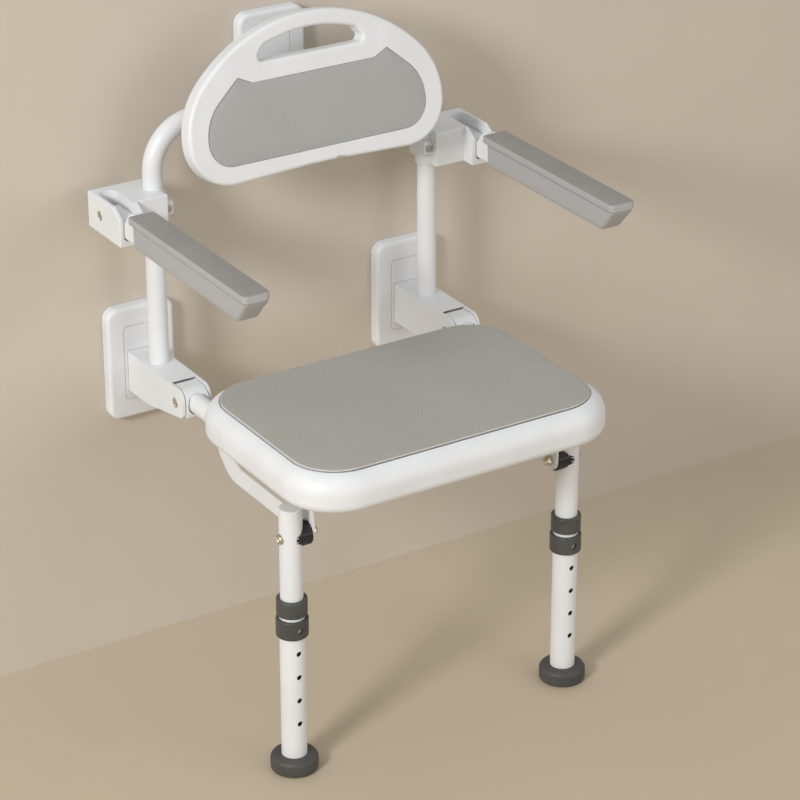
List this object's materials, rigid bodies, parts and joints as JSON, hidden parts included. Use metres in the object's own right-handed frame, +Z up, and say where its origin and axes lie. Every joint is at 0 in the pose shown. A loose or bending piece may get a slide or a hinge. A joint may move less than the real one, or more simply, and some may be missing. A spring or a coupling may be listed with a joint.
{
  "type": "fold down wall seat",
  "caption": "White wall mounted fold down seat with a grey padded seat, a low backrest, fold up armrests and adjustable front legs.",
  "frame": {"origin": "on the wall plane and the floor, midway between the two uprights", "axes": "+X to the right of someone facing the seat, +Y into the wall, +Z up"},
  "size_m": [0.546, 0.484, 0.863],
  "materials": {
    "white_powder_coat": "powder coat, satin",
    "white_plastic": "moulded, satin",
    "grey_pad": "woven fabric face",
    "grey_arm_rubber": "moulded, matt",
    "dark_grey_plastic": "moulded, satin",
    "dark_grey_rubber": "moulded, matt",
    "black_plastic": "moulded, matt",
    "plated_steel": "nickel plate",
    "galvanised_steel": "zinc plate",
    "spring_steel": "bright"
  },
  "bodies": {
    "wall_frame": {"arm_bracket_left": "white_powder_coat", "arm_bracket_right": "white_powder_coat", "arm_pivot_left": "plated_steel", "arm_pivot_right": "plated_steel", "backrest_clip_left": "white_powder_coat", "backrest_clip_right": "white_powder_coat", "backrest_pad": "grey_pad", "backrest_screws": "plated_steel", "backrest_shell": "white_plastic", "clamp_screws": "plated_steel", "hinge_bracket_left": "white_powder_coat", "hinge_bracket_right": "white_powder_coat", "hinge_pin_left": "plated_steel", "hinge_pin_right": "plated_steel", "top_bracket": "white_powder_coat", "u_frame": "white_powder_coat", "wall_cover_left": "white_plastic", "wall_cover_right": "white_plastic", "wall_cover_top": "white_plastic", "wall_plate_left": "galvanised_steel", "wall_plate_right": "galvanised_steel", "wall_plate_top": "galvanised_steel"},
    "seat": {"knuckle_left": "white_powder_coat", "knuckle_right": "white_powder_coat", "leg_bolt_left": "plated_steel", "leg_bolt_right": "plated_steel", "leg_nut_left": "plated_steel", "leg_nut_right": "plated_steel", "seat_cross_front": "white_powder_coat", "seat_cross_rear": "white_powder_coat", "seat_pad": "grey_pad", "seat_screws": "plated_steel", "seat_shell": "white_plastic", "seat_tube_left": "white_powder_coat", "seat_tube_right": "white_powder_coat", "side_rail_left": "white_powder_coat", "side_rail_right": "white_powder_coat"},
    "armrest_left": {"arm_core_left": "white_powder_coat", "arm_pad_left": "grey_arm_rubber"},
    "armrest_right": {"arm_core_right": "white_powder_coat", "arm_pad_right": "grey_arm_rubber"},
    "leg_left": {"leg_plug_left": "white_plastic", "leg_spacer_left": "black_plastic", "leg_tube_left": "white_powder_coat", "snap_spring_left": "spring_steel"},
    "leg_right": {"leg_plug_right": "white_plastic", "leg_spacer_right": "black_plastic", "leg_tube_right": "white_powder_coat", "snap_spring_right": "spring_steel"},
    "leg_extension_left": {"leg_bush_left": "dark_grey_plastic", "leg_extension_left": "white_powder_coat", "leg_foot_left": "dark_grey_rubber", "leg_lock_ring_left": "dark_grey_plastic"},
    "leg_extension_right": {"leg_bush_right": "dark_grey_plastic", "leg_extension_right": "white_powder_coat", "leg_foot_right": "dark_grey_rubber", "leg_lock_ring_right": "dark_grey_plastic"}
  },
  "joints": [
    {"name": "seat_fold", "type": "hinge", "parent": "wall_frame", "child": "seat", "pos_m": [0, -0.1395, 0.403], "axis": [-1, 0, 0], "range_deg": [0, 80]},
    {"name": "armrest_fold_left", "type": "hinge", "parent": "wall_frame", "child": "armrest_left", "pos_m": [0, -0.058, 0.637], "axis": [-1, 0, 0], "range_deg": [0, 90]},
    {"name": "leg_fold_left", "type": "hinge", "parent": "seat", "child": "leg_left", "pos_m": [0, -0.39, 0.324], "axis": [1, 0, 0], "range_deg": [0, 80]},
    {"name": "leg_length_left", "type": "slide", "parent": "leg_left", "child": "leg_extension_left", "axis": [0, 0, 1], "range_m": [0, 0.066], "deforming": ["snap_spring_left"]},
    {"name": "armrest_fold_right", "type": "hinge", "parent": "wall_frame", "child": "armrest_right", "pos_m": [0, -0.058, 0.637], "axis": [-1, 0, 0], "range_deg": [0, 90]},
    {"name": "leg_fold_right", "type": "hinge", "parent": "seat", "child": "leg_right", "pos_m": [0, -0.39, 0.324], "axis": [1, 0, 0], "range_deg": [0, 80]},
    {"name": "leg_length_right", "type": "slide", "parent": "leg_right", "child": "leg_extension_right", "axis": [0, 0, 1], "range_m": [0, 0.066], "deforming": ["snap_spring_right"]}
  ]
}
